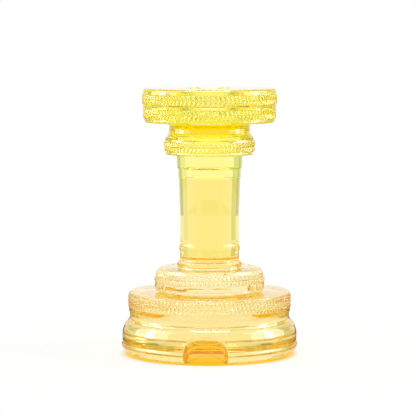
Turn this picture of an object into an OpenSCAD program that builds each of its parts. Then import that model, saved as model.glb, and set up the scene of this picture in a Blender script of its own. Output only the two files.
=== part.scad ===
// Candlestick of solid yellow glass: nine turned and pressed sections, bonded
// end to end on ground flat faces. The foot stands on Z = 0 and the sections
// stack upwards along the Z axis. The notch in the foot faces -Y. Millimetres.

/* [Foot] */
// Diameter of the rim that goes round the bottom of the foot
rim_d = 99.2; // [80:0.2:130]
// Diameter of the foot above the rim
foot_d = 98.2; // [78:0.2:128]
// Height of the foot
foot_h = 19.3; // [17.5:0.1:26]
// Radius of the shoulder round the top of the foot
shoulder_round = 6.0; // [2:0.2:8]
// Height of the rim up to the crease above it
rim_h = 7.0; // [6:0.1:9]
// Depth of the crease between rim and foot
crease_depth = 1.4; // [0.4:0.1:2.5]
// How far the tread, on which the foot stands, lies inside the rim
tread_inset = 6.4; // [3:0.1:10]
// Height at which the rolled edge under the rim reaches full width
edge_h = 4.2; // [2:0.1:5]

/* [Notch in the foot] */
// Width of the arched notch at its mouth
notch_w = 26.6; // [18:0.2:34]
// Width of the notch at its back wall
notch_back_w = 19.0; // [12:0.2:24]
// Depth of the notch from the rim to its back wall
notch_depth = 16.4; // [8:0.2:24]
// Height of the arch's centre above the floor
notch_rise = 1.6; // [0.2:0.1:3]
// Radius between the notch's back wall and its vault
notch_round = 3.6; // [1:0.2:5]

/* [Base drum] */
// Diameter of the plain skirt at the bottom of the base drum
skirt_d = 89.6; // [74:0.2:118]
// Height of that skirt
skirt_h = 4.8; // [2:0.1:8]
// Largest diameter of the base drum, over its knurling
base_drum_d = 91.8; // [76:0.2:120]
// Height of the base drum
base_drum_h = 16.0; // [15:0.1:24]
// Radius round the top edge of the base drum
base_drum_round = 1.4; // [0.4:0.1:2]

/* [Lower ring] */
// Largest diameter of the lower ring
ring_d = 62.2; // [54:0.2:72]
// Diameter of the lower ring at its top edge
ring_top_d = 56.8; // [48:0.2:58]
// Height of the lower ring
ring_h = 13.7; // [12.4:0.1:18]
// Radius under the lower ring
ring_under_round = 5.4; // [3:0.1:6]
// Radius round the ring's top edge
ring_top_round = 1.6; // [0.5:0.1:2]

/* [Stem] */
// Diameter of the flare at the foot of the stem
flare_d = 36.4; // [33:0.1:42]
// Height of that flare
flare_h = 2.9; // [2:0.1:5]
// Diameter of the cove above the flare
cove_d = 33.0; // [28:0.1:34]
// Height of the stem collar, which holds flare and cove
collar_h = 9.9; // [7:0.1:14]
// Diameter of the stem at its narrowest
stem_d = 33.2; // [28:0.1:36]
// Diameter of the stem at its upper end
stem_top_d = 34.6; // [30:0.1:38]
// Diameter of the bead at the stem's lower end
bead_d = 34.0; // [32:0.1:38]
// Height of that bead
bead_h = 2.6; // [1:0.1:5]
// Length of the stem
stem_h = 40.5; // [25:0.5:120]
// Diameter of the capital at its lower end
capital_d = 35.4; // [32:0.1:40]
// Diameter of the capital at its upper end
capital_top_d = 37.3; // [33:0.1:44]
// Height of the step in the capital
capital_step_h = 5.6; // [3:0.1:8]
// Height of the capital
capital_h = 13.5; // [10:0.1:20]

/* [Knop and neck] */
// Largest diameter of the upper knop
knop_d = 51.6; // [42:0.2:60]
// Height of the upper knop
knop_h = 8.1; // [7.6:0.1:12]
// Radius under the knop
knop_under_round = 2.2; // [1:0.1:2.4]
// Diameter of the neck at its upper end
neck_d = 46.6; // [38:0.2:50]
// Diameter of the neck at its waist
neck_waist_d = 45.6; // [36:0.2:46]
// Height of the neck
neck_h = 10.0; // [7:0.1:16]

/* [Candle cup] */
// Diameter of the candle cup, over its upper knurling
cup_d = 76.0; // [60:0.2:90]
// How much narrower the cup is below its clear band
cup_step = 1.0; // [0:0.1:2]
// Height of the candle cup
cup_h = 19.0; // [18.4:0.1:26]
// Radius round the top of the cup
cup_top_round = 3.0; // [1:0.1:3.2]
// Radius round the bottom of the cup
cup_under_round = 2.4; // [0.6:0.1:2.6]
// Diameter of the candle socket
socket_d = 24.0; // [20:0.1:27]
// Depth of the candle socket
socket_depth = 17.0; // [12:0.1:17.4]
// Width of the ground bevel round the socket's mouth
socket_bevel = 0.8; // [0.2:0.1:1.5]

/* [Knurling] */
// Distance from one tooth of the knurling to the next
knurl_pitch = 2.5; // [1.8:0.1:4]
// Depth of the knurling
knurl_depth = 0.5; // [0.2:0.05:0.8]
// Height of one row of teeth
knurl_row_h = 2.8; // [2:0.1:2.8]
// How far a tooth leans sideways between the two edges of its row
knurl_lean = 1.2; // [0:0.05:1.4]
// Width of the plain groove between two rows
knurl_gap = 0.3; // [0.1:0.05:0.5]

/* [Hidden] */
$fn = 96;

// Plain margin between the knurling and an edge of the drum that carries it
knurl_margin = 0.15;
// How far a cutting shape stands out of the glass that it cuts
overshoot = 2;

// Heights at which the sections meet
foot_top = foot_h;
base_drum_top = foot_top + base_drum_h;
ring_top = base_drum_top + ring_h;
collar_top = ring_top + collar_h;
stem_top = collar_top + stem_h;
capital_top = stem_top + capital_h;
knop_top = capital_top + knop_h;
neck_top = knop_top + neck_h;

lime_glass = [1.0, 0.90, 0.20, 0.7];
amber_glass = [0.98, 0.80, 0.16, 0.7];

function unit(v) = v / norm(v);

// Flats that stand for a rounded corner of radius r
function flats(r) = r < 1 ? 2 : r < 3 ? 4 : 6;

// Points of the arc round centre c from point a to point b
function arc_points(c, a, b) =
    let (from = atan2(a.y - c.y, a.x - c.x), to = atan2(b.y - c.y, b.x - c.x))
    let (sweep = (to - from + 540) % 360 - 180, r = norm(a - c), n = flats(r))
    [for (k = [0:n]) c + r * [cos(from + sweep * k / n), sin(from + sweep * k / n)]];

// One corner of an outline, rounded by its third value as far as its sides allow
function rounded_corner(before, corner, after) =
    let (p = [corner.x, corner.y], u = unit([before.x, before.y] - p), v = unit([after.x, after.y] - p))
    let (half = acos(u * v) / 2)
    let (room = 0.49 * min(norm([before.x, before.y] - p), norm([after.x, after.y] - p)))
    let (reach = min(corner.z / tan(half), room))
    corner.z == 0 ? [p] : arc_points(p + unit(u + v) * reach / cos(half), p + u * reach, p + v * reach);

// Outline with its corners rounded; each corner is [radius, height, rounding]
function outline(corners) =
    let (n = len(corners))
    [for (i = [0:n - 1]) each rounded_corner(corners[(i + n - 1) % n], corners[i], corners[(i + 1) % n])];

// Solid of revolution from the corners of its outline, outermost wall only
module turned(corners, h) {
    rotate_extrude()
        polygon(outline(concat([[0, 0, 0]], corners, [[0, h, 0]])));
}

// Teeth round a circle, as crests and roots by turns
function tooth_points(crest_r) =
    let (teeth = round(2 * PI * crest_r / knurl_pitch))
    [for (i = [0:2 * teeth - 1])
        let (a = i * 180 / teeth, r = i % 2 == 0 ? crest_r : crest_r - knurl_depth)
        r * [cos(a), sin(a)]];

// One row of knurling, whose lower edge is at height z. Even rows lean one way
// and odd rows back again, so that the teeth run on in a zigzag.
module knurl_row(crest_r, z, row) {
    lean = knurl_lean * 180 / (PI * crest_r);
    even = row % 2 == 0;
    translate([0, 0, z + knurl_gap / 2])
        rotate([0, 0, even ? 0 : lean])
            linear_extrude(knurl_row_h - knurl_gap, twist = even ? -lean : lean, slices = 1)
                polygon(tooth_points(crest_r));
}

// Corners of the plain floor on which rows of knurling stand, from height z up
function knurl_floor(low_r, high_r, z, rows) =
    let (sunk = knurl_depth + knurl_margin)
    [[low_r, z, 0], [low_r - sunk, z, 0],
     [high_r - sunk, z + rows * knurl_row_h, 0], [high_r, z + rows * knurl_row_h, 0]];

// Vaulted notch: a cone that lies along -Y, with a rounded inner end and the
// seam of its surface turned down, below the floor
module foot_notch() {
    mouth_r = norm([notch_w / 2, notch_rise]);
    back_r = notch_back_w / 2;
    grow = (mouth_r - back_r) / notch_depth;
    translate([0, -rim_d / 2 + notch_depth, notch_rise])
        rotate([90, 0, 0])
            rotate([0, 0, -90])
                rotate_extrude()
                    polygon(outline([[0, 0, 0], [back_r, 0, notch_round],
                                     [mouth_r + overshoot * grow, notch_depth + overshoot, 0],
                                     [0, notch_depth + overshoot, 0]]));
}

module foot() {
    rim_r = rim_d / 2;
    tread_r = rim_r - tread_inset;
    color(amber_glass)
        difference() {
            turned([[tread_r, 0, 2.5],
                    [tread_r + 0.6 * tread_inset, 0.3 * edge_h, 4],
                    [rim_r, edge_h, 3],
                    [rim_r, rim_h - 1, 0.8],
                    [rim_r - crease_depth, rim_h, 0.3],
                    [foot_d / 2, rim_h + 1.2, 0.8],
                    [foot_d / 2, foot_h, shoulder_round]], foot_h);
            foot_notch();
        }
}

module base_drum() {
    drum_r = base_drum_d / 2;
    rows = 3;
    knurl_z = skirt_h + 1.1;
    color(amber_glass)
        translate([0, 0, foot_top]) {
            turned(concat([[skirt_d / 2, 0, 0.3], [skirt_d / 2, skirt_h, 0.5]],
                          knurl_floor(drum_r, drum_r, knurl_z, rows),
                          [[drum_r - 0.3, base_drum_h, base_drum_round]]), base_drum_h);
            for (row = [0:rows - 1])
                knurl_row(drum_r, knurl_z + row * knurl_row_h, row);
        }
}

module lower_ring() {
    low_r = ring_d / 2;
    top_r = ring_top_d / 2;
    rows = 2;
    knurl_z = ring_under_round + 0.4;
    knurl_top = knurl_z + rows * knurl_row_h;
    step_r = (low_r + top_r) / 2 + knurl_depth;
    color(lime_glass)
        translate([0, 0, base_drum_top]) {
            turned([[low_r - ring_under_round, 0, 0.1],
                    [low_r, 0.3, ring_under_round],
                    [low_r, knurl_z, 0],
                    [low_r - knurl_depth - knurl_margin, knurl_z, 0],
                    [low_r - knurl_depth - knurl_margin, knurl_z + knurl_row_h, 0],
                    [step_r - knurl_depth - knurl_margin, knurl_z + knurl_row_h, 0],
                    [step_r - knurl_depth - knurl_margin, knurl_top, 0],
                    [step_r, knurl_top, 0],
                    [top_r, ring_h, ring_top_round]], ring_h);
            knurl_row(low_r, knurl_z, 0);
            knurl_row(step_r, knurl_z + knurl_row_h, 1);
        }
}

module stem_collar() {
    color(lime_glass)
        translate([0, 0, ring_top])
            turned([[flare_d / 2, 0, 0.3],
                    [flare_d / 2, flare_h, 0.5],
                    [cove_d / 2, flare_h + 1.4, 1.2],
                    [cove_d / 2, collar_h, 0.1]], collar_h);
}

module stem() {
    color(lime_glass)
        translate([0, 0, collar_top])
            turned([[bead_d / 2, 0, 0.4],
                    [bead_d / 2, bead_h, 0.5],
                    [stem_d / 2, bead_h + 1.4, 2],
                    [stem_d / 2, stem_h / 2, 30],
                    [stem_top_d / 2, stem_h, 0.1]], stem_h);
}

module capital() {
    color(lime_glass)
        translate([0, 0, stem_top])
            turned([[capital_d / 2, 0, 0.3],
                    [capital_d / 2, capital_step_h, 0.4],
                    [(capital_d + capital_top_d) / 4 + 0.2, capital_step_h + 0.9, 0.4],
                    [capital_top_d / 2, capital_h, 0.1]], capital_h);
}

module upper_knop() {
    knop_r = knop_d / 2;
    rows = 2;
    knurl_z = knop_under_round - 0.2;
    knurl_top = knurl_z + rows * knurl_row_h;
    color(lime_glass)
        translate([0, 0, capital_top]) {
            turned(concat([[knop_r - 0.9, 0, knop_under_round]],
                          knurl_floor(knop_r - 0.4, knop_r, knurl_z, rows),
                          [[knop_r - 0.5, knop_h, 0.2]]), knop_h);
            knurl_row(knop_r - 0.4, knurl_z, 0);
            knurl_row(knop_r, knurl_z + knurl_row_h, 1);
        }
}

module neck() {
    color(amber_glass)
        translate([0, 0, knop_top])
            turned([[knop_d / 2 - 0.5, 0, 0.3],
                    [neck_waist_d / 2, 0.38 * neck_h, 3],
                    [neck_waist_d / 2, 0.5 * neck_h, 3],
                    [neck_d / 2, neck_h, 0.2]], neck_h);
}

module candle_cup() {
    cup_r = cup_d / 2;
    low_r = cup_r - cup_step / 2;
    rows = 2;
    low_z = cup_under_round - 0.2;
    high_z = cup_h - cup_top_round - rows * knurl_row_h - 0.2;
    band_z = (low_z + rows * knurl_row_h + high_z) / 2;
    color(lime_glass)
        translate([0, 0, neck_top])
            difference() {
                union() {
                    turned(concat([[low_r - 0.5, 0, cup_under_round]],
                                  knurl_floor(low_r, low_r, low_z, rows),
                                  [[low_r, band_z - 0.4, 0.4], [cup_r, band_z + 0.4, 0.4]],
                                  knurl_floor(cup_r, cup_r, high_z, rows),
                                  [[cup_r, cup_h, cup_top_round]]), cup_h);
                    for (row = [0:rows - 1]) {
                        knurl_row(low_r, low_z + row * knurl_row_h, row);
                        knurl_row(cup_r, high_z + row * knurl_row_h, row);
                    }
                }
                translate([0, 0, cup_h - socket_depth])
                    cylinder(d = socket_d, h = socket_depth + overshoot);
                translate([0, 0, cup_h - socket_bevel])
                    cylinder(d1 = socket_d, d2 = socket_d + 2 * (socket_bevel + overshoot),
                             h = socket_bevel + overshoot);
            }
}

foot();
base_drum();
lower_ring();
stem_collar();
stem();
capital();
upper_knop();
neck();
candle_cup();
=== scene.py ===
"""Solid pressed-glass candlestick, dressed for the studio on top of its construction model."""

import logging
import math
from dataclasses import dataclass, field
from enum import Enum
from typing import Sequence

import bpy
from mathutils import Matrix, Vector


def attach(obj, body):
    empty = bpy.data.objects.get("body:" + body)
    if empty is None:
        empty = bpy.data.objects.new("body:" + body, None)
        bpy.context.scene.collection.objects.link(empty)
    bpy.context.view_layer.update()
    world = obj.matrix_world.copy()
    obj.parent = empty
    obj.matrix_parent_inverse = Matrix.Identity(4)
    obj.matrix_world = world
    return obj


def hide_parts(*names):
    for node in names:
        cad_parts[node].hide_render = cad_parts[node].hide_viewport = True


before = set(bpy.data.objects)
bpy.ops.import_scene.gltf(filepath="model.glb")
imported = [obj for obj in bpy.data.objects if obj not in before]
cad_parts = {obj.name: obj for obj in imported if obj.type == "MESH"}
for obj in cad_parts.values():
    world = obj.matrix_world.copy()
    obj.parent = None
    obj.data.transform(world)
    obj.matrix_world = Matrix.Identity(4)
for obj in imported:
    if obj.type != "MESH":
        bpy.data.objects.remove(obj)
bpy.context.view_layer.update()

MM = 0.001
# width left between two fused pieces, and the smallest distance that counts, in millimetres
SEAM = 0.02
TINY = 1e-6
WHITE = (1.0, 1.0, 1.0, 1.0)
# painted shade: deeper amber for the notch's pressed-in walls; painted amber light and shade for the table
# under the foot
NOTCH_PAINTED_SHADE = "#ffb428"
TABLE_PAINTED_LIGHT = "#f8c828"
log = logging.getLogger("candlestick")


# ---------------------------------------------------------------- colours and nodes


def linear(hex_colour: str) -> tuple[float, float, float, float]:
    """Turn an sRGB hex colour into linear light.

    Args:
        hex_colour: Six hex digits, with or without a leading #.

    Returns:
        Red, green, blue and an alpha of 1.
    """
    digits = hex_colour.lstrip("#")
    parts = [int(digits[i : i + 2], 16) / 255 for i in (0, 2, 4)]
    red, green, blue = (c / 12.92 if c <= 0.04045 else ((c + 0.055) / 1.055) ** 2.4 for c in parts)
    return (red, green, blue, 1.0)


def add_node(
    tree: bpy.types.NodeTree,
    kind: str,
    links: dict[str | int, bpy.types.NodeSocket] | None = None,
    values: dict[str | int, object] | None = None,
    **settings: object,
) -> bpy.types.Node:
    """Add one node with its settings, plain values and links.

    Args:
        tree: Node tree that gets the node.
        kind: Blender's name for the node type.
        links: Output sockets to join, by the name or number of the input they feed.
        values: Plain input values, by the name or number of the input.
        **settings: Attributes of the node itself.

    Returns:
        The new node.
    """
    node = tree.nodes.new(kind)
    for name, setting in settings.items():
        setattr(node, name, setting)
    for name, value in (values or {}).items():
        node.inputs[name].default_value = value
    for name, socket in (links or {}).items():
        tree.links.new(socket, node.inputs[name])
    return node


def empty_material(name: str) -> tuple[bpy.types.Material, bpy.types.NodeTree]:
    """Make a material whose node tree is bare.

    Args:
        name: Name of the material.

    Returns:
        The material and its node tree.
    """
    material = bpy.data.materials.new(name)
    material.use_nodes = True
    material.node_tree.nodes.clear()
    return material, material.node_tree


# ---------------------------------------------------------------- finishes


@dataclass(frozen=True)
class PressedGlass:
    """Soda-lime glass pressed in a mould and fire polished.

    The body colour takes blue out of the light first and green much later, so thin
    parts are lemon and thick parts amber. Fire polish leaves the skin almost wet, with
    a slow wave of a centimetre or so where the mould's marks have flowed out.

    Attributes:
        name: Name of the material.
        body: Colour that the glass lets through, as sRGB hex.
        strength: How much of the other colours it takes per metre.
        skin: Roughness of the polished skin.
        wave_mm: Length of the slow wave in the skin.
        wave_height_mm: Height of that wave.
        ior: Refractive index of soda-lime glass.
        notch_shade: Amber painted in the notch as shade, for the deep colour seen through thick glass, or
            None.
    """

    name: str
    body: str
    strength: float
    skin: float = 0.0
    wave_mm: float = 11.0
    wave_height_mm: float = 0.02
    ior: float = 1.5
    notch_shade: str | None = None

    def build(self) -> bpy.types.Material:
        """Build the glass.

        Returns:
            The material. Faces marked as bonded bend no light, as inside fused glass.
        """
        material, tree = empty_material(self.name)
        bonded = add_node(tree, "ShaderNodeAttribute", attribute_name="bonded")
        bend = add_node(
            tree,
            "ShaderNodeMapRange",
            links={"Value": bonded.outputs["Fac"]},
            values={"To Min": self.ior, "To Max": 1.0},
        )
        place = add_node(tree, "ShaderNodeTexCoord")
        wave = add_node(
            tree,
            "ShaderNodeTexNoise",
            links={"Vector": place.outputs["Object"]},
            values={"Scale": 1 / (self.wave_mm * MM), "Detail": 1.0},
        )
        skin = add_node(
            tree,
            "ShaderNodeBump",
            links={"Height": wave.outputs["Fac"]},
            values={"Strength": 1.0, "Distance": self.wave_height_mm * MM},
        )
        glass = add_node(
            tree,
            "ShaderNodeBsdfPrincipled",
            links={"IOR": bend.outputs["Result"], "Normal": skin.outputs["Normal"]},
            values={
                "Base Color": WHITE,
                "Roughness": self.skin,
                "Transmission Weight": 1.0,
            },
        )
        # painted shade: amber base colour where the notch is pressed in, for the deep colour seen through
        # thick glass
        if self.notch_shade:
            thick = add_node(tree, "ShaderNodeAttribute", attribute_name="notch_shade")
            shade_colour = add_node(
                tree,
                "ShaderNodeMix",
                data_type="RGBA",
                links={0: thick.outputs["Fac"]},
                values={6: WHITE, 7: linear(self.notch_shade)},
            )
            tree.links.new(shade_colour.outputs[2], glass.inputs["Base Color"])
        tint = add_node(
            tree,
            "ShaderNodeVolumeAbsorption",
            values={"Color": linear(self.body), "Density": self.strength},
        )
        add_node(
            tree,
            "ShaderNodeOutputMaterial",
            links={"Surface": glass.outputs["BSDF"], "Volume": tint.outputs["Volume"]},
        )
        return material


# ---------------------------------------------------------------- turned shapes


@dataclass(frozen=True)
class Corner:
    """A corner of a turned outline, in millimetres.

    Attributes:
        radius: Distance from the axis.
        height: Height in the piece.
        rounding: Radius of the rounding at the corner.
    """

    radius: float
    height: float
    rounding: float = 0.0


@dataclass
class Ring:
    """One ring of points round a turned piece, in millimetres.

    Attributes:
        radius: Distance from the axis.
        height: Height above the floor.
        tooth: Depth of the knurling at this height.
        lean: How far the columns have turned at this height, in millimetres of arc.
    """

    radius: float
    height: float
    tooth: float = 0.0
    lean: float = 0.0


@dataclass(frozen=True)
class Knurl:
    """Rows of herringbone knurling round a wall.

    Attributes:
        base: Height of the lowest row.
        rows: How many rows there are.
        crest: Radius of the teeth's crests at the lowest row.
        top_crest: Radius of the crests at the highest row.
        row_height: Height of one row.
        depth: Depth of the grooves between the teeth.
        lean: How far a tooth leans sideways over its row.
        fade: Height over which a tooth runs out at either edge of its row.
    """

    base: float
    rows: int
    crest: float
    top_crest: float
    row_height: float = 2.8
    depth: float = 0.42
    lean: float = 1.2
    fade: float = 0.42

    @property
    def top(self) -> float:
        """Height of the highest row's upper edge."""
        return self.base + self.rows * self.row_height

    def rings(self) -> list[Ring]:
        """Work out the rings of the knurled band, from the bottom up.

        Returns:
            The rings, with their tooth depth and lean.
        """
        made: list[Ring] = []
        shares = [0.0, 0.35, 1.0]
        line = 0.1  # depth below the grooves of the plain line at a row's edge
        for row in range(self.rows):
            low = self.base + row * self.row_height
            share = row / max(self.rows - 1, 1)
            crest = self.crest + (self.top_crest - self.crest) * share
            marks = [self.fade * s for s in shares]
            marks += [self.row_height * k / 6 for k in range(2, 5)]
            marks += [self.row_height - self.fade * s for s in reversed(shares)]
            for at in marks:
                edge = min(at, self.row_height - at) / self.fade
                swell = math.sin(min(edge, 1.0) * math.pi / 2)
                along = at / self.row_height
                lean = self.lean * (along if row % 2 == 0 else 1 - along)
                floor = crest - self.depth - line
                radius = floor + (self.depth + line) * swell
                made.append(Ring(radius, low + at, self.depth * swell, lean))
        return made


def rounded(before: Corner, corner: Corner, after: Corner, fine: float) -> list[tuple[float, float]]:
    """Round one corner of an outline.

    Args:
        before: Corner before it.
        corner: The corner itself.
        after: Corner after it.
        fine: Length of the arc's steps, in millimetres.

    Returns:
        Points of the arc, or the corner itself where it is left sharp.
    """
    if corner.rounding <= 0:
        return [(corner.radius, corner.height)]
    here = Vector((corner.radius, corner.height))
    back = Vector((before.radius, before.height)) - here
    ahead = Vector((after.radius, after.height)) - here
    half = back.angle(ahead) / 2
    if half > math.radians(89.5):
        return [(corner.radius, corner.height)]
    reach = min(corner.rounding / math.tan(half), 0.49 * min(back.length, ahead.length))
    size = reach * math.tan(half)
    start, end = here + back.normalized() * reach, here + ahead.normalized() * reach
    middle = here + (back.normalized() + ahead.normalized()).normalized() * (reach / math.cos(half))
    first = math.atan2(start.y - middle.y, start.x - middle.x)
    sweep = (math.atan2(end.y - middle.y, end.x - middle.x) - first + math.pi) % (2 * math.pi) - math.pi
    steps = max(2, math.ceil(abs(sweep) * size / fine), math.ceil(abs(sweep) / math.radians(12)))
    angles = [first + sweep * k / steps for k in range(steps + 1)]
    return [(middle.x + size * math.cos(a), middle.y + size * math.sin(a)) for a in angles]


def outline(corners: Sequence[Corner], fine: float = 0.8) -> list[tuple[float, float]]:
    """Round the corners of an open outline.

    Args:
        corners: Its corners in order. The first and last stay as they are.
        fine: Length of the steps on rounded corners, in millimetres.

    Returns:
        Its points as radius and height.
    """
    points = [(corners[0].radius, corners[0].height)]
    for before, corner, after in zip(corners, corners[1:], corners[2:]):
        points += rounded(before, corner, after, fine)
    points.append((corners[-1].radius, corners[-1].height))
    return points


def dense(points: Sequence[tuple[float, float]], step: float) -> list[tuple[float, float]]:
    """Split long straight stretches of an outline.

    Args:
        points: Points as radius and height.
        step: Longest stretch that stays whole, in millimetres.

    Returns:
        The same outline with points added.
    """
    made = [points[0]]
    for (r0, z0), (r1, z1) in zip(points, points[1:]):
        parts = max(1, math.ceil(math.hypot(r1 - r0, z1 - z0) / step))
        made += [(r0 + (r1 - r0) * k / parts, z0 + (z1 - z0) * k / parts) for k in range(1, parts + 1)]
    return made


def crest_shape(phase: float) -> float:
    """Height of a tooth, from 0 in the groove to 1 at the crest.

    Args:
        phase: Place across the teeth, where each whole number is a groove.

    Returns:
        The height as a share of the tooth's depth.
    """
    return abs(math.sin(math.pi * phase))


def turn(
    name: str,
    rings: Sequence[Ring],
    teeth: int,
    per_tooth: int,
    seams: Sequence[tuple[float, float]],
) -> bpy.types.Object:
    """Make a closed turned mesh from rings that start and end on the axis.

    Args:
        name: Name of the piece.
        rings: Rings from the bottom centre round the outside to the top centre.
        teeth: Teeth round the piece.
        per_tooth: Columns of faces in each tooth.
        seams: Height and radius of each flat face that is fused to a neighbour.

    Returns:
        The new object.
    """
    columns = teeth * per_tooth
    least_reach = 20.0  # nearer to the axis than this, the lean's angle stops growing
    verts: list[tuple[float, float, float]] = []
    starts: list[int] = []
    for ring in rings:
        starts.append(len(verts))
        if ring.radius < TINY:
            verts.append((0.0, 0.0, ring.height * MM))
            continue
        for column in range(columns):
            cut = ring.tooth * (1 - crest_shape(column / per_tooth))
            radius = ring.radius - cut
            angle = 2 * math.pi * column / columns + ring.lean / max(ring.radius, least_reach)
            verts.append((radius * MM * math.cos(angle), radius * MM * math.sin(angle), ring.height * MM))
    faces: list[tuple[int, ...]] = []
    for index, (low, high) in enumerate(zip(rings, rings[1:])):
        a, b = starts[index], starts[index + 1]
        for column in range(columns):
            after = (column + 1) % columns
            if low.radius < TINY:
                faces.append((a, b + after, b + column))
            elif high.radius < TINY:
                faces.append((a + column, a + after, b))
            else:
                faces.append((a + column, a + after, b + after, b + column))
    return finish_mesh(name, verts, faces, seams)


def finish_mesh(
    name: str,
    verts: Sequence[tuple[float, float, float]],
    faces: Sequence[tuple[int, ...]],
    seams: Sequence[tuple[float, float]],
    crease: float = 32.0,
) -> bpy.types.Object:
    """Turn points and faces into a piece with smooth faces, crisp edges and marked seams.

    Args:
        name: Name of the piece.
        verts: Points in metres.
        faces: Faces by the numbers of their points.
        seams: Height and radius, in millimetres, of each flat face fused to a neighbour.
        crease: Angle in degrees past which an edge stays crisp.

    Returns:
        The new object.
    """
    mesh = bpy.data.meshes.new(name)
    mesh.from_pydata(verts, [], faces)
    mesh.update()
    mesh.shade_smooth()
    mesh.set_sharp_from_angle(angle=math.radians(crease))
    level, near = 0.999, 0.05  # how flat a fused face is, and how near its seam in millimetres
    marks = mesh.attributes.new("bonded", "FLOAT", "FACE")
    for face in mesh.polygons:
        height = face.center.z / MM
        flat = abs(face.normal.z) > level
        reach = math.hypot(face.center.x, face.center.y) / MM
        marks.data[face.index].value = float(
            flat and any(abs(height - z) < near and reach < r for z, r in seams)
        )
    piece = bpy.data.objects.new(name, mesh)
    bpy.context.scene.collection.objects.link(piece)
    return piece


# ---------------------------------------------------------------- pieces


class Tint(Enum):
    """Tints of the glass: the colour that it lets through, and its strength per metre."""

    # painted light and shade: one glass, given paler and deeper strengths piece by piece where the parts
    # look lighter or darker in the studio's light
    PALE = ("#fff2a1", 16.0)
    FOOT = ("#fff2a1", 19.0)
    LEMON = ("#fff6a0", 70.0)
    LIME = ("#fffb8c", 46.0)
    AMBER = ("#fffa80", 170.0)


class Slot(Enum):
    """The record's material slots."""

    BASE = "base_glass"
    STEM = "stem_glass"
    CUP = "cup_glass"


@dataclass
class TurnedPiece:
    """A piece of glass turned about the candlestick's axis.

    Attributes:
        node: Name of the construction node that it stands for.
        slot: Material slot of the record. Not used.
        low: Height of its lower face above the floor.
        wall: Corners of its outside, from the lower face up, with heights in the piece.
        top: Height of the piece.
        low_seam: Radius of the part of the lower face that is fused, or 0.
        top_seam: Radius of the part of the upper face that is fused, or 0.
        knurls: Knurled bands, by the number of the corner that each one follows.
        teeth: Teeth round the piece.
        per_tooth: Columns of faces in each tooth.
        hollow: Corners of an opening in the upper face, from its rim to the axis.
        fine: Length of the steps on rounded corners.
    """

    node: str
    slot: Slot
    low: float
    wall: list[Corner]
    top: float
    low_seam: float
    top_seam: float
    knurls: dict[int, Knurl] = field(default_factory=dict)
    teeth: int = 64
    per_tooth: int = 4
    hollow: list[Corner] = field(default_factory=list)
    fine: float = 0.8

    def rings(self) -> list[Ring]:
        """Work out every ring of the piece, from the bottom centre to the top centre.

        Returns:
            The rings, with heights above the floor.
        """
        lift = SEAM / 2
        made: list[Ring] = [Ring(0.0, lift)]
        if 0 < self.low_seam < self.wall[0].radius:
            made.append(Ring(self.low_seam, lift))
        lean = 0.0
        corners = [Corner(0.0, self.wall[0].height)] + self.wall
        cuts = sorted(self.knurls)
        edges = [0] + [c + 1 for c in cuts] + [len(corners) - 1]
        for part, (first, last) in enumerate(zip(edges, edges[1:])):
            begin = first if part == 0 else first + 1
            stretch = corners[begin : last + 1]
            if part == len(edges) - 2:
                inner = self.hollow[0].radius if self.hollow else self.top_seam
                stretch = stretch + [Corner(inner, self.top)]
            if len(stretch) > 1:
                points = dense(outline(stretch, self.fine), 2.2)
                if part == 0:
                    points = [p for p in points if p[1] > TINY or p[0] > self.low_seam - TINY]
                made += [Ring(r, z, 0.0, lean) for r, z in points]
            elif stretch:
                made.append(Ring(stretch[0].radius, stretch[0].height, 0.0, lean))
            if part < len(cuts):
                band = self.knurls[cuts[part]]
                rings = band.rings()
                for ring in rings:
                    ring.lean += lean
                made += rings
                lean = rings[-1].lean
        if self.hollow:
            made += [Ring(r, z, 0.0, lean) for r, z in dense(outline(self.hollow, 0.3), 3.0)[1:]]
        elif self.top_seam:
            made.append(Ring(0.0, self.top, 0.0, lean))
        kept: list[Ring] = []
        for ring in made:
            height = min(max(ring.height, lift), self.top - lift)
            ring = Ring(ring.radius, self.low + height, ring.tooth, ring.lean)
            same = 1e-4
            if kept and math.hypot(ring.radius - kept[-1].radius, ring.height - kept[-1].height) < same:
                continue
            kept.append(ring)
        return kept

    def build(self, glass: bpy.types.Material) -> bpy.types.Object:
        """Build the piece, dress it and put it in its node's place.

        Args:
            glass: Its material.

        Returns:
            The new object.
        """
        seams: list[tuple[float, float]] = []
        if self.low_seam:
            seams.append((self.low, self.low_seam))
        if self.top_seam:
            seams.append((self.low + self.top, self.top_seam))
        piece = turn(f"glass_{self.node}", self.rings(), self.teeth, self.per_tooth, seams)
        return dress(piece, self.node, glass)


def dress(piece: bpy.types.Object, node: str, glass: bpy.types.Material) -> bpy.types.Object:
    """Give a piece its glass and put it in its node's place.

    Args:
        piece: The new object.
        node: Construction node that it stands for.
        glass: Its material.

    Returns:
        The same object.
    """
    piece.data.materials.append(glass)
    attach(piece, "root")
    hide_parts(node)
    log.info("%s: %d faces of %s", piece.name, len(piece.data.polygons), glass.name)
    return piece


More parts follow.
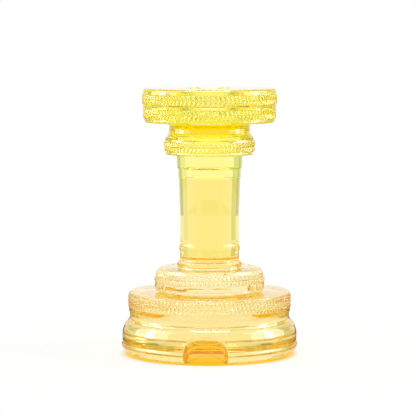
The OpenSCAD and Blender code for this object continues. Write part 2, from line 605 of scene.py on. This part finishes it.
@dataclass
class Foot:
    """The heavy foot, with the vaulted notch pressed into its front, in millimetres.

    Attributes:
        rim: Radius of the rolled rim.
        height: Height of the foot.
        side: Radius of the wall above the rim.
        seat: Radius of the seat for the drum.
        tread: Radius of the flat tread.
        mouth_half: Half the notch's width at the rim.
        mouth_height: Height of its arch at the rim.
        back_half: Half its width at the back wall.
        back_height: Height of its arch at the back wall.
        notch_depth: Depth of the back wall behind the rim.
        squareness: Power of the arch's curve, where 2 is an ellipse.
        back_round: Rounding where the arch meets the back wall.
        lip: Rounding of the lip.
        turned_deg: How far the notch is turned about the axis, in degrees.
        reach_deg: Half the stretch of wall that the notch may move, in degrees.
        plain_columns: Columns of faces round the rest of the wall.
        shade_from: Depth in the notch at which its painted amber shade begins.
        shade_over: Further depth over which the painted shade becomes full.
    """

    rim: float = 49.59
    height: float = 19.3
    side: float = 49.1
    seat: float = 45.9
    tread: float = 43.2
    mouth_half: float = 12.4
    mouth_height: float = 14.6
    back_half: float = 10.3
    back_height: float = 8.8
    notch_depth: float = 16.4
    squareness: float = 3.8
    back_round: float = 3.0
    lip: float = 3.2
    turned_deg: float = -2.7
    reach_deg: float = 24.0
    plain_columns: int = 192
    shade_from: float = 1.0
    shade_over: float = 4.0

    def wall(self) -> list[tuple[float, float]]:
        """Outline of the foot's side, from the tread's edge up to the drum's seat.

        Returns:
            Points as radius and height.
        """
        corners = [
            Corner(self.tread - 4, 0.0),
            Corner(self.tread, 0.0, 2.5),
            Corner(self.tread + 3.84, 1.26, 4),
            Corner(self.rim, 4.2, 3),
            Corner(self.rim, 6.0, 0.8),
            Corner(self.rim - 0.6, 7.0, 1.0),
            Corner(self.side, 8.4, 1.2),
            Corner(self.side + 0.1, 13.2, 5.0),
            Corner(47.6, 17.6, 5.0),
            Corner(self.seat, self.height),
        ]
        fine, step, run_in = 0.4, 0.45, 8
        return dense(outline(corners, fine), step)[run_in:]

    def notch_depth_at(self, x: float, z: float) -> float:
        """How deep the notch is behind the rim at a place on the front.

        Args:
            x: Distance from the middle of the notch.
            z: Height above the floor.

        Returns:
            Depth in millimetres, below 0 outside the notch.
        """

        def spread(share: float) -> float:
            """Say where the place lies against the arch at one depth.

            Args:
                share: Share of the way to the back wall.

            Returns:
                Below 1 inside the arch, above 1 outside it.
            """
            half = self.mouth_half + (self.back_half - self.mouth_half) * share
            high = self.mouth_height + (self.back_height - self.mouth_height) * share
            return abs(x / half) ** self.squareness + abs(z / high) ** self.squareness

        fall_off, furthest, halvings = 60, 1.6, 18
        if spread(0.0) > 1:
            return (1 - spread(0.0) ** (1 / self.squareness)) * fall_off
        low, high = 0.0, furthest
        for _ in range(halvings):
            middle = (low + high) / 2
            low, high = (middle, high) if spread(middle) < 1 else (low, middle)
        return soft_min(low * self.notch_depth, self.notch_depth, self.back_round)

    def pressed(self, x: float, y: float, z: float) -> tuple[float, float]:
        """Move a point of the front wall into the notch.

        Args:
            x: Place across.
            y: Place along the depth, negative at the front.
            z: Height above the floor.

        Returns:
            The new place along the depth, and how far the point moved.
        """
        depth = self.notch_depth_at(x, z)
        placed = -soft_min(-y, self.rim - depth, self.lip)
        return placed, placed - y

    def column_angles(self) -> list[float]:
        """Angles of the wall's columns, closest where the notch's sides are steep.

        Returns:
            Angles in degrees from the front.
        """
        coarse, close, steep_from, steep_to = 0.3, 0.12, 10.0, 17.6
        angles: list[float] = []
        at = -self.reach_deg
        while at < self.reach_deg - TINY:
            angles.append(at)
            at += coarse if abs(at) > steep_to or abs(at) < steep_from else close
        rest = 360.0 - 2 * self.reach_deg
        return angles + [self.reach_deg + rest * k / self.plain_columns for k in range(self.plain_columns)]

    def build(self, glass: bpy.types.Material) -> bpy.types.Object:
        """Build the foot, dress it and put it in its node's place.

        Args:
            glass: Its material.

        Returns:
            The new object.
        """
        wall, angles = self.wall(), self.column_angles()
        rows, columns = len(wall), len(angles)
        verts: list[tuple[float, float, float]] = []
        moved: list[float] = []
        for r, z in wall:
            for angle in angles:
                turned = math.radians(angle - 90)
                x, y = r * math.cos(turned), r * math.sin(turned)
                shift = 0.0
                if abs(angle) <= self.reach_deg:
                    y, shift = self.pressed(x, y, z)
                verts.append((x * MM, y * MM, max(z, 0.0) * MM))
                moved.append(shift)
        pairs = [(c, (c + 1) % columns) for c in range(columns)]
        faces: list[tuple[int, ...]] = []
        for row in range(rows - 1):
            low, high = row * columns, (row + 1) * columns
            faces += [(low + c, low + after, high + after, high + c) for c, after in pairs]
        # the tread, drawn in towards a point behind the notch
        hub_y = 12.0 * MM
        previous = 0
        for share in (0.35, 0.7):
            first = len(verts)
            for x, y, _ in verts[:columns]:
                verts.append((x * (1 - share), y + (hub_y - y) * share, 0.0))
            faces += [(first + c, first + after, previous + after, previous + c) for c, after in pairs]
            previous = first
        centre = len(verts)
        verts.append((0.0, hub_y, 0.0))
        faces += [(centre, previous + after, previous + c) for c, after in pairs]
        # the upper face, fused to the drum
        top = (self.height - SEAM / 2) * MM
        first = (rows - 1) * columns
        for c in range(columns):
            x, y, _ = verts[first + c]
            verts[first + c] = (x, y, top)
        centre = len(verts)
        verts.append((0.0, 0.0, top))
        faces += [(first + c, first + after, centre) for c, after in pairs]
        cos, sin = math.cos(math.radians(self.turned_deg)), math.sin(math.radians(self.turned_deg))
        verts = [(x * cos - y * sin, x * sin + y * cos, z) for x, y, z in verts]
        room = 0.1  # lets the outermost faces of the seat count as fused
        seams = [(self.height, self.seat + room)]
        piece = finish_mesh("glass_foot", verts, faces, seams, crease=50.0)
        # painted shade: the deeper a point is pressed into the notch, the more amber it gets
        marks = piece.data.attributes.new("notch_shade", "FLOAT", "POINT")
        for index, shift in enumerate(moved):
            marks.data[index].value = min(max((shift - self.shade_from) / self.shade_over, 0.0), 1.0)
        return dress(piece, "foot", glass)


def soft_min(a: float, b: float, blend: float) -> float:
    """The smaller of two lengths, with the change from one to the other rounded.

    Args:
        a: First length.
        b: Second length.
        blend: Width of the rounding.

    Returns:
        The rounded smaller length.
    """
    share = max(blend - abs(a - b), 0.0) / blend
    return min(a, b) - share * share * blend / 4


@dataclass
class Base:
    """The foot and the knurled drum that stands on it.

    Attributes:
        foot: The foot.
        drum: Radius of the drum over its teeth, in millimetres.
        skirt: Radius of the plain skirt under the teeth.
        low: Height of the drum's lower face above the floor.
        height: Height of the drum.
    """

    foot: Foot = field(default_factory=Foot)
    drum: float = 45.9
    skirt: float = 44.8
    low: float = 19.3
    height: float = 16.0

    def build(self, glasses: dict[Tint, bpy.types.Material]) -> list[bpy.types.Object]:
        """Build the base.

        Args:
            glasses: The glass of each tint.

        Returns:
            The new objects.
        """
        drum = TurnedPiece(
            node="base_drum",
            slot=Slot.BASE,
            low=self.low,
            wall=[
                Corner(self.drum, 0.0),
                Corner(self.skirt + 0.1, 1.7, 3.5),
                Corner(self.skirt, 4.8, 0.5),
                Corner(self.drum - 0.5, 5.2, 0.4),
                Corner(self.drum - 0.6, 7.4),
                Corner(self.drum - 0.6, 14.75),
                Corner(self.drum - 0.3, self.height, 1.4),
            ],
            top=self.height,
            low_seam=self.drum,
            top_seam=25.7,
            knurls={4: Knurl(7.4, 3, self.drum, self.drum, row_height=2.45)},
            teeth=116,
            per_tooth=8,
        )
        return [self.foot.build(glasses[Tint.FOOT]), drum.build(glasses[Tint.PALE])]


@dataclass
class Stem:
    """The lower ring, the plain stem between its collars, and the knop under the neck.

    Attributes:
        ring_low: Height of the ring's lower face above the floor, in millimetres.
        collar_low: Height of the collar's lower face.
        stem_low: Height of the stem's lower face.
        capital_low: Height of the capital's lower face.
        knop_low: Height of the knop's lower face.
    """

    ring_low: float = 35.3
    collar_low: float = 49.0
    stem_low: float = 58.9
    capital_low: float = 99.4
    knop_low: float = 112.9

    def build(self, glasses: dict[Tint, bpy.types.Material]) -> list[bpy.types.Object]:
        """Build the stem.

        Args:
            glasses: The glass of each tint.

        Returns:
            The new objects.
        """
        ring = TurnedPiece(
            node="lower_ring",
            slot=Slot.STEM,
            low=self.ring_low,
            wall=[
                Corner(25.7, 0.0, 0.1),
                Corner(31.1, 0.3, 5.2),
                Corner(30.6, 5.8),
                Corner(29.7, 11.4),
                Corner(28.4, 13.7, 1.6),
            ],
            top=13.7,
            low_seam=25.7,
            top_seam=18.2,
            knurls={2: Knurl(5.8, 2, 31.1, 30.25)},
            teeth=78,
            per_tooth=8,
        )
        collar = TurnedPiece(
            node="stem_collar",
            slot=Slot.STEM,
            low=self.collar_low,
            wall=[Corner(18.2, 0.0), Corner(18.2, 2.9, 0.5), Corner(16.5, 4.3, 1.2), Corner(16.5, 9.9)],
            top=9.9,
            low_seam=18.2,
            top_seam=16.5,
        )
        stem = TurnedPiece(
            node="stem",
            slot=Slot.STEM,
            low=self.stem_low,
            wall=[
                Corner(17.0, 0.0, 0.4),
                Corner(17.0, 2.6, 0.5),
                Corner(16.6, 4.0, 2.0),
                Corner(16.6, 20.25, 30.0),
                Corner(17.3, 40.5),
            ],
            top=40.5,
            low_seam=16.5,
            top_seam=17.3,
        )
        capital = TurnedPiece(
            node="capital",
            slot=Slot.STEM,
            low=self.capital_low,
            wall=[
                Corner(17.7, 0.0, 0.3),
                Corner(17.7, 5.6, 0.4),
                Corner(18.4, 6.5, 0.4),
                Corner(18.65, 13.5),
            ],
            top=13.5,
            low_seam=17.3,
            top_seam=18.65,
        )
        knop = TurnedPiece(
            node="upper_knop",
            slot=Slot.STEM,
            low=self.knop_low,
            wall=[
                Corner(24.9, 0.0, 2.4),
                Corner(24.8, 1.8),
                Corner(25.2, 7.3),
                Corner(25.2, 8.1),
            ],
            top=8.1,
            low_seam=18.65,
            top_seam=25.2,
            knurls={1: Knurl(1.8, 2, 25.5, 25.7, row_height=2.75)},
            teeth=64,
            per_tooth=8,
        )
        return [
            ring.build(glasses[Tint.PALE]),
            collar.build(glasses[Tint.LEMON]),
            stem.build(glasses[Tint.LEMON]),
            capital.build(glasses[Tint.LIME]),
            knop.build(glasses[Tint.LIME]),
        ]


@dataclass
class Cup:
    """The waisted neck and the knurled cup that holds the candle.

    Attributes:
        neck_low: Height of the neck's lower face above the floor, in millimetres.
        cup_low: Height of the cup's lower face.
        cup: Radius of the cup over its upper teeth.
        height: Height of the cup.
        socket: Radius of the candle socket.
        socket_depth: Depth of the candle socket.
    """

    neck_low: float = 121.0
    cup_low: float = 131.0
    cup: float = 38.0
    height: float = 19.0
    socket: float = 12.0
    socket_depth: float = 17.0

    def build(self, glasses: dict[Tint, bpy.types.Material]) -> list[bpy.types.Object]:
        """Build the cup.

        Args:
            glasses: The glass of each tint.

        Returns:
            The new objects.
        """
        neck = TurnedPiece(
            node="neck",
            slot=Slot.CUP,
            low=self.neck_low,
            wall=[
                Corner(25.2, 0.0),
                Corner(24.9, 0.8, 1.6),
                Corner(22.75, 4.3, 5.0),
                Corner(22.75, 6.8, 6.0),
                Corner(23.3, 10.0),
            ],
            top=10.0,
            low_seam=25.2,
            top_seam=23.3,
            teeth=96,
        )
        low = self.cup - 0.5
        cup = TurnedPiece(
            node="candle_cup",
            slot=Slot.CUP,
            low=self.cup_low,
            wall=[
                Corner(low - 0.5, 0.0, 2.4),
                Corner(low - 0.6, 2.2),
                Corner(low, 7.85, 0.0),
                Corner(low, 8.6, 0.4),
                Corner(self.cup, 9.4, 0.4),
                Corner(self.cup - 0.6, 10.15),
                Corner(self.cup - 0.3, 15.9),
                Corner(self.cup - 0.6, self.height, 3.2),
            ],
            top=self.height,
            low_seam=23.3,
            top_seam=0.0,
            knurls={1: Knurl(2.2, 2, low, low), 5: Knurl(10.2, 2, self.cup, self.cup)},
            teeth=96,
            per_tooth=8,
            hollow=[
                Corner(self.socket + 0.9, self.height),
                Corner(self.socket, self.height - 0.9, 0.3),
                Corner(self.socket, self.height - self.socket_depth, 0.6),
                Corner(0.0, self.height - self.socket_depth),
            ],
        )
        return [neck.build(glasses[Tint.AMBER]), cup.build(glasses[Tint.LIME])]


# ---------------------------------------------------------------- studio


def seen_through_lens_or_glass(tree: bpy.types.NodeTree) -> bpy.types.NodeSocket:
    """Tell the rays of the camera, of glass and of gloss from those that light a surface.

    Args:
        tree: Node tree that gets the nodes.

    Returns:
        A socket that is 1 for such a ray and 0 for any other.
    """
    path = add_node(tree, "ShaderNodeLightPath")
    direct = add_node(
        tree,
        "ShaderNodeMath",
        operation="MAXIMUM",
        links={0: path.outputs["Is Camera Ray"], 1: path.outputs["Is Transmission Ray"]},
    )
    seen = add_node(
        tree,
        "ShaderNodeMath",
        operation="MAXIMUM",
        links={0: direct.outputs[0], 1: path.outputs["Is Glossy Ray"]},
    )
    return seen.outputs[0]


def stage_object(
    name: str,
    verts: Sequence[tuple[float, float, float]],
    faces: Sequence[tuple[int, ...]],
    material: bpy.types.Material,
) -> bpy.types.Object:
    """Make an object of the studio, which isn't part of the candlestick.

    Args:
        name: Name of the object.
        verts: Points in metres.
        faces: Faces by the numbers of their points.
        material: Its material.

    Returns:
        The new object.
    """
    mesh = bpy.data.meshes.new(name)
    mesh.from_pydata(verts, [], faces)
    mesh.materials.append(material)
    made = bpy.data.objects.new(name, mesh)
    bpy.context.scene.collection.objects.link(made)
    return made


def glowing_card(
    name: str,
    verts: Sequence[tuple[float, float, float]],
    faces: Sequence[tuple[int, ...]],
    colour: str,
    strength: float,
) -> bpy.types.Object:
    """Make a glowing card that lights nothing and that the camera doesn't see.

    Args:
        name: Name of the card.
        verts: Points in metres.
        faces: Faces by the numbers of their points.
        colour: sRGB hex colour.
        strength: How many times brighter than its colour it is.

    Returns:
        The new object.
    """
    material, tree = empty_material(f"card_{name}")
    glow = add_node(tree, "ShaderNodeEmission", values={"Color": linear(colour), "Strength": strength})
    add_node(tree, "ShaderNodeOutputMaterial", links={"Surface": glow.outputs["Emission"]})
    card = stage_object(name, verts, faces, material)
    card.visible_camera = False
    card.visible_diffuse = False
    card.visible_shadow = False
    return card


@dataclass
class Studio:
    """The table, the white surround, the lights and the camera.

    Attributes:
        table_reach: Half the table's width, in metres.
        painted_light_from: Radius at which the painted amber light and shade begins to fade, in metres.
        painted_light_to: Distance from the axis at which it is gone.
        seen_share: Part of the table's white that doesn't depend on the light.
        room_light: Brightness of the surround as it lights the table.
        camera_back: Distance from the axis to the camera, in metres.
        camera_height: Height of the camera above the floor.
        camera_aside: How far the camera stands to the right of the axis.
        pitch_deg: How far the camera looks down, in degrees.
        lens: Focal length in millimetres.
    """

    table_reach: float = 4.0
    painted_light_from: float = 0.0445
    painted_light_to: float = 0.0515
    seen_share: float = 0.6
    room_light: float = 0.6
    camera_back: float = 1.3078
    camera_height: float = 0.1958
    camera_aside: float = -0.00085
    pitch_deg: float = 4.955
    lens: float = 201.6

    def table(self) -> None:
        """Build the white table top, which keeps the candlestick's soft shadow."""
        # a matt laminate: even white to the eye, with only the shadow to mark it
        material, tree = empty_material("white_table_laminate")
        seen = seen_through_lens_or_glass(tree)
        # painted light and shade: amber laid on under the foot stands for the light that the glass has
        # coloured, and its outer edge draws a thin contact shadow round the foot
        place = add_node(tree, "ShaderNodeTexCoord")
        reach = add_node(
            tree, "ShaderNodeVectorMath", operation="LENGTH", links={0: place.outputs["Object"]}
        )
        clear = add_node(
            tree,
            "ShaderNodeMapRange",
            interpolation_type="SMOOTHSTEP",
            links={"Value": reach.outputs["Value"]},
            values={"From Min": self.painted_light_from, "From Max": self.painted_light_to},
        )
        painted_light_tone = add_node(
            tree,
            "ShaderNodeMix",
            data_type="RGBA",
            links={0: clear.outputs["Result"]},
            values={6: linear(TABLE_PAINTED_LIGHT), 7: WHITE},
        )
        share = add_node(
            tree,
            "ShaderNodeMath",
            operation="MULTIPLY",
            links={0: seen},
            values={1: self.seen_share},
        )
        paper = add_node(
            tree,
            "ShaderNodeMix",
            data_type="RGBA",
            blend_type="MULTIPLY",
            links={6: painted_light_tone.outputs[2]},
            values={0: 1.0, 7: (0.62, 0.62, 0.62, 1.0)},
        )
        matt = add_node(tree, "ShaderNodeBsdfDiffuse", links={"Color": paper.outputs[2]})
        glow = add_node(
            tree,
            "ShaderNodeEmission",
            links={"Strength": share.outputs[0], "Color": painted_light_tone.outputs[2]},
        )
        both = add_node(
            tree, "ShaderNodeAddShader", links={0: matt.outputs["BSDF"], 1: glow.outputs["Emission"]}
        )
        add_node(tree, "ShaderNodeOutputMaterial", links={"Surface": both.outputs["Shader"]})
        # a hair below the tread, so that the two faces don't share a plane
        half, under = self.table_reach, -0.00005
        verts = [(-half, -half, under), (half, -half, under), (half, half, under), (-half, half, under)]
        stage_object("table", verts, [(0, 1, 2, 3)], material)

    def surround(self) -> None:
        """Light the room evenly and show it white to the eye, to glass and to gloss."""
        world = bpy.data.worlds.new("white_sweep")
        bpy.context.scene.world = world
        world.use_nodes = True
        tree = world.node_tree
        tree.nodes.clear()
        level = add_node(
            tree,
            "ShaderNodeMapRange",
            links={"Value": seen_through_lens_or_glass(tree)},
            values={"To Min": self.room_light, "To Max": 1.0},
        )
        light = add_node(
            tree,
            "ShaderNodeBackground",
            links={"Strength": level.outputs["Result"]},
            values={"Color": WHITE},
        )
        add_node(tree, "ShaderNodeOutputWorld", links={"Surface": light.outputs["Background"]})

    def card(
        self,
        name: str,
        azimuth: float,
        width: float,
        low: float,
        high: float,
        reach: float,
        colour: str,
        strength: float = 1.0,
        gloss_only: bool = False,
    ) -> None:
        """Stand a curved card beside the candlestick, to draw lines in its edges.

        Args:
            name: Name of the card.
            azimuth: Direction in degrees from +Y towards -X.
            width: Width in degrees as seen from the axis.
            low: Height of its lower edge in metres.
            high: Height of its upper edge in metres.
            reach: Distance from the axis in metres.
            colour: sRGB hex colour.
            strength: How many times brighter than its colour it is.
            gloss_only: True if it shows in reflections and not through the glass.
        """
        facet_deg = 4
        steps = max(1, round(width / facet_deg))
        verts: list[tuple[float, float, float]] = []
        for k in range(steps + 1):
            angle = math.radians(90 + azimuth - width / 2 + width * k / steps)
            verts += [(reach * math.cos(angle), reach * math.sin(angle), z) for z in (low, high)]
        faces = [(2 * k, 2 * k + 1, 2 * k + 3, 2 * k + 2) for k in range(steps)]
        card = glowing_card(name, verts, faces, colour, strength)
        card.visible_transmission = not gloss_only

    def flat_card(
        self,
        name: str,
        inner: float,
        outer: float,
        height: float,
        colour: str,
        strength: float = 1.0,
        gloss_only: bool = True,
    ) -> None:
        """Lay a flat ring or disc level with the table.

        Args:
            name: Name of the card.
            inner: Inner radius in metres.
            outer: Outer radius in metres.
            height: Height above the floor in metres.
            colour: sRGB hex colour.
            strength: How many times brighter than its colour it is.
            gloss_only: True if it shows in reflections, False if through the glass.
        """
        steps = 48
        verts = [
            (r * math.cos(2 * math.pi * k / steps), r * math.sin(2 * math.pi * k / steps), height)
            for k in range(steps)
            for r in (inner, outer)
        ]
        pairs = [(2 * k, 2 * ((k + 1) % steps)) for k in range(steps)]
        faces = [(at, at + 1, after + 1, after) for at, after in pairs]
        ring = glowing_card(name, verts, faces, colour, strength)
        ring.visible_transmission = not gloss_only
        ring.visible_glossy = gloss_only

    def window(self, azimuth: float, height: float, spread: float, strength: float) -> None:
        """Let soft light in from one side, to cast the candlestick's shadow.

        Args:
            azimuth: Direction in degrees from -Y towards +X.
            height: Height above the horizon in degrees.
            spread: Width of the light in degrees.
            strength: Light on a surface that faces it.
        """
        lamp = bpy.data.lights.new("window", "SUN")
        lamp.energy = strength
        lamp.angle = math.radians(spread)
        sun = bpy.data.objects.new("window", lamp)
        a, e = math.radians(azimuth), math.radians(height)
        source = Vector((math.sin(a) * math.cos(e), -math.cos(a) * math.cos(e), math.sin(e)))
        sun.rotation_euler = (-source).to_track_quat("-Z", "Y").to_euler()
        bpy.context.scene.collection.objects.link(sun)

    def camera(self) -> None:
        """Set the camera up at the candlestick's front, a little above it."""
        data = bpy.data.cameras.new("camera")
        data.lens = self.lens
        data.sensor_width = 36.0
        camera = bpy.data.objects.new("camera", data)
        camera.location = (self.camera_aside, -self.camera_back, self.camera_height)
        camera.rotation_euler = (math.radians(90 - self.pitch_deg), 0.0, 0.0)
        data.clip_start, data.clip_end = 0.05, 50.0
        bpy.context.scene.collection.objects.link(camera)
        bpy.context.scene.camera = camera

    def build(self) -> None:
        """Set up the whole studio."""
        self.camera()
        self.table()
        self.surround()
        # overhead: a bright box for the upper edges, and what the glass shows from above
        self.flat_card("apron", 0.07, 0.6, 0.0006, "#202020")
        self.flat_card("overhead_softbox", 0.001, 0.24, 0.75, "#ffffff", 14.0)
        self.flat_card("overhead_silk", 0.001, 0.35, 0.76, "#ffffff", 3.0, gloss_only=False)
        self.flat_card("dark_ceiling", 0.35, 1.0, 0.75, "#a8b090", gloss_only=False)
        # narrow pale cards, which draw the upright bars in the stem
        for half, turn_to in (("back", 0.0), ("front", 180.0)):
            for hand, side, colour in (("left", 1, "#dde5cc"), ("right", -1, "#f0f4e6")):
                self.card(
                    f"{hand}_{half}",
                    azimuth=turn_to + side * 42.0,
                    width=16.0,
                    low=0.0,
                    high=0.6,
                    reach=0.42,
                    colour=colour,
                )
        # green cards for the edges of cup and stem, and boxes that put white strokes on the teeth
        for side in (-1, 1):
            self.card(
                f"edge_{side + 2}",
                azimuth=side * 63.0,
                width=54.0,
                low=0.035,
                high=0.5,
                reach=0.5,
                colour="#bcc8a2",
            )
            for name, width, reach, strength in (("softbox", 14.0, 0.4, 14.0), ("wing", 56.0, 0.41, 4.0)):
                self.card(
                    f"{name}_{side + 2}",
                    azimuth=side * 95.0,
                    width=width,
                    low=0.082,
                    high=0.45,
                    reach=reach,
                    colour="#ffffff",
                    strength=strength,
                    gloss_only=True,
                )
        self.window(azimuth=80.0, height=28.0, spread=14.0, strength=0.35)


def glass_paths() -> None:
    """Let light pass through as many faces as a solid stack of glass has."""
    cycles = bpy.context.scene.cycles
    cycles.max_bounces = 32
    cycles.transmission_bounces = 32
    cycles.glossy_bounces = 16
    cycles.transparent_max_bounces = 16


def main() -> None:
    """Build the studio and the candlestick."""
    logging.basicConfig(level=logging.INFO, format="%(name)s: %(message)s")
    scene = bpy.context.scene
    scene.view_settings.view_transform = "Standard"
    glass_paths()
    Studio().build()
    glasses: dict[Tint, bpy.types.Material] = {}
    for tint in Tint:
        # only the foot carries the amber painted as shade in its notch
        notch_shade = NOTCH_PAINTED_SHADE if tint is Tint.FOOT else None
        name = f"pressed_{tint.name.lower()}_glass"
        glasses[tint] = PressedGlass(name, *tint.value, notch_shade=notch_shade).build()
    Base().build(glasses)
    Stem().build(glasses)
    Cup().build(glasses)


if __name__ == "__main__":
    main()
